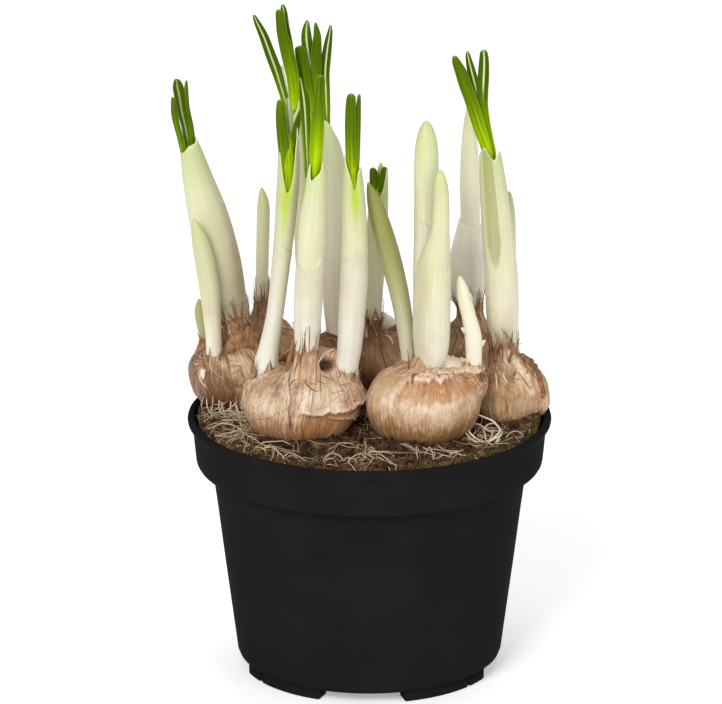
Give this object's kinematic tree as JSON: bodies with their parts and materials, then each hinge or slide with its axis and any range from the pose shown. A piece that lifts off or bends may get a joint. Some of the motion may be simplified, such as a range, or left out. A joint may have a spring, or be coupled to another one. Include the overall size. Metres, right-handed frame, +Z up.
{
  "type": "potted crocus",
  "caption": "Round black nursery pot filled with soil, with crocus corms set shallow in it, their white sheaths up and the first green leaves coming out.",
  "frame": {"origin": "on the pot's axis, at the level of the surface that its feet stand on", "axes": "+Z up along the pot's axis, -Y towards the front of the pot, +X to the right seen from the front"},
  "size_m": [0.1227, 0.12, 0.2198],
  "materials": {
    "pot_plastic": "near-black moulded plastic, satin, with a soft vertical sheen",
    "soil": "moist crumbly peat soil, matt, with mossy bits at the rim",
    "corm_tunic": "dry fibrous tan tunic, papery, slightly silky",
    "sheath": "smooth waxy ivory sheath, pale yellow-green towards its tip",
    "leaf": "fresh green leaf with a satin surface, yellow-green at its foot",
    "root": "pale dry root, matt"
  },
  "bodies": {
    "root": {"pot": "pot_plastic", "soil": "soil", "corm_front_left": "corm_tunic", "corm_front_right": "corm_tunic", "corm_left": "corm_tunic", "corm_right": "corm_tunic", "corm_back_right": "corm_tunic", "corm_middle": "corm_tunic", "corm_behind_left": "corm_tunic", "corm_back_left": "corm_tunic", "corm_back": "corm_tunic", "sheath_left_tall": "sheath", "leaves_left_tall": "leaf", "sheath_left_slim": "sheath", "sheath_left_stub": "sheath", "sheath_back_left": "sheath", "sheath_front_left_a": "sheath", "leaves_front_left_a": "leaf", "sheath_front_left_b": "sheath", "leaves_front_left_b": "leaf", "sheath_front_left_c": "sheath", "leaves_front_left_c": "leaf", "sheath_behind_left_a": "sheath", "leaves_behind_left_a": "leaf", "sheath_behind_left_b": "sheath", "leaves_behind_left_b": "leaf", "sheath_middle": "sheath", "leaves_middle": "leaf", "sheath_front_right_leaning": "sheath", "sheath_front_right_tall": "sheath", "sheath_front_right_slim": "sheath", "sheath_back_right": "sheath", "sheath_right": "sheath", "leaves_right": "leaf", "sheath_right_slim": "sheath", "sprout_front_right": "sheath", "sprout_back": "sheath", "roots_left": "root", "roots_front_left": "root", "roots_front": "root", "roots_front_right": "root", "roots_back": "root"}
  },
  "joints": []
}
